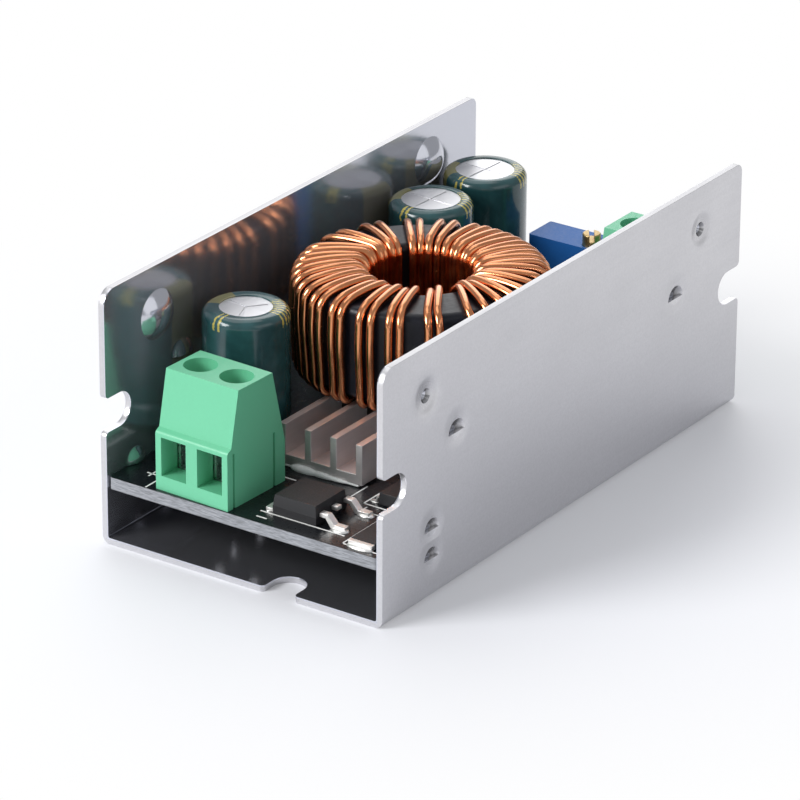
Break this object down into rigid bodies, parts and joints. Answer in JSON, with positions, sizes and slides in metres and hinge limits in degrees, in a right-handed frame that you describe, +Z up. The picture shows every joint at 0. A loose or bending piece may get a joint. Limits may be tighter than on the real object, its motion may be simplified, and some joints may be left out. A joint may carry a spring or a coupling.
{
  "type": "buck converter module",
  "caption": "Step-down converter: black board with green screw terminals, capacitors, ring coil, heatsink and blue trimmer in an open aluminium channel.",
  "frame": {"origin": "middle of the underside of the chassis", "axes": "+Y along the channel towards the output terminal, +Z up, +X to the right seen from the input end"},
  "size_m": [0.0382, 0.0738, 0.0307],
  "materials": {
    "chassis_aluminium": "satin rolled sheet, bright cut edges",
    "board_black": "black solder mask, grey fibre edge",
    "terminal_green": "smooth moulded green plastic",
    "heatsink_aluminium": "extruded, fine lengthwise lines",
    "glue_white": "cured white heat-conducting glue",
    "core_black": "black epoxy coating on pressed powder",
    "enamelled_copper": "glossy clear enamel on copper",
    "moulded_black": "moulded epoxy",
    "tinned_metal": "tinned",
    "ceramic_tan": "fired ceramic",
    "trimmer_blue": "moulded blue plastic",
    "brass": "turned",
    "plated_steel": "zinc plated",
    "can_aluminium": "drawn can, satin",
    "sleeve_dark_green": "shrunk film, pale bands",
    "seal_rubber": "moulded"
  },
  "bodies": {
    "module": {"chassis": "chassis_aluminium", "chip_component_bodies": "ceramic_tan", "chip_component_ends": "tinned_metal", "circuit_board": "board_black", "coil_winding": "enamelled_copper", "controller_body": "moulded_black", "controller_leads": "tinned_metal", "front_capacitor_can": "can_aluminium", "front_capacitor_leads": "tinned_metal", "front_capacitor_seal": "seal_rubber", "front_capacitor_sleeve": "sleeve_dark_green", "heatsink": "heatsink_aluminium", "input_minus_contact": "tinned_metal", "input_plus_contact": "tinned_metal", "input_terminal_housing": "terminal_green", "middle_capacitor_can": "can_aluminium", "middle_capacitor_leads": "tinned_metal", "middle_capacitor_seal": "seal_rubber", "middle_capacitor_sleeve": "sleeve_dark_green", "output_minus_contact": "tinned_metal", "output_plus_contact": "tinned_metal", "output_terminal_housing": "terminal_green", "power_device_body": "moulded_black", "power_device_leads": "tinned_metal", "rear_capacitor_can": "can_aluminium", "rear_capacitor_leads": "tinned_metal", "rear_capacitor_seal": "seal_rubber", "rear_capacitor_sleeve": "sleeve_dark_green", "sense_resistor_body": "moulded_black", "sense_resistor_ends": "tinned_metal", "solder_joints": "tinned_metal", "thermal_glue": "glue_white", "toroid_core": "core_black", "trimmer_body": "trimmer_blue", "trimmer_pins": "tinned_metal"},
    "input_plus_screw": {"input_plus_screw": "plated_steel"},
    "input_plus_cage": {"input_plus_cage": "plated_steel"},
    "input_minus_screw": {"input_minus_screw": "plated_steel"},
    "input_minus_cage": {"input_minus_cage": "plated_steel"},
    "output_minus_screw": {"output_minus_screw": "plated_steel"},
    "output_minus_cage": {"output_minus_cage": "plated_steel"},
    "output_plus_screw": {"output_plus_screw": "plated_steel"},
    "output_plus_cage": {"output_plus_cage": "plated_steel"},
    "trimmer_screw": {"trimmer_screw": "brass"}
  },
  "joints": [
    {"name": "input_plus_turn", "type": "hinge", "parent": "module", "child": "input_plus_screw", "pos_m": [-0.00933, -0.03116, 0.02], "axis": [0, 0, -1], "range_deg": [0, 1800]},
    {"name": "input_plus_rise", "type": "slide", "parent": "module", "child": "input_plus_cage", "axis": [0, 0, 1], "range_m": [0, 0.0025]},
    {"name": "input_minus_turn", "type": "hinge", "parent": "module", "child": "input_minus_screw", "pos_m": [-0.00425, -0.03135, 0.02], "axis": [0, 0, -1], "range_deg": [0, 1800]},
    {"name": "input_minus_rise", "type": "slide", "parent": "module", "child": "input_minus_cage", "axis": [0, 0, 1], "range_m": [0, 0.0025]},
    {"name": "output_minus_turn", "type": "hinge", "parent": "module", "child": "output_minus_screw", "pos_m": [0.01334, 0.03128, 0.02], "axis": [0, 0, -1], "range_deg": [0, 1800]},
    {"name": "output_minus_rise", "type": "slide", "parent": "module", "child": "output_minus_cage", "axis": [0, 0, 1], "range_m": [0, 0.0025]},
    {"name": "output_plus_turn", "type": "hinge", "parent": "module", "child": "output_plus_screw", "pos_m": [0.00826, 0.03128, 0.02], "axis": [0, 0, -1], "range_deg": [0, 1800]},
    {"name": "output_plus_rise", "type": "slide", "parent": "module", "child": "output_plus_cage", "axis": [0, 0, 1], "range_m": [0, 0.0025]},
    {"name": "trimmer_turn", "type": "hinge", "parent": "module", "child": "trimmer_screw", "pos_m": [0.0025, 0.03055, 0.019], "axis": [0, 0, 1], "continuous": true}
  ],
  "couplings": [
    {"joint": "input_plus_turn", "follows": "input_plus_rise", "rad_per_m": 12566},
    {"joint": "input_minus_turn", "follows": "input_minus_rise", "rad_per_m": 12566},
    {"joint": "output_minus_turn", "follows": "output_minus_rise", "rad_per_m": 12566},
    {"joint": "output_plus_turn", "follows": "output_plus_rise", "rad_per_m": 12566}
  ]
}
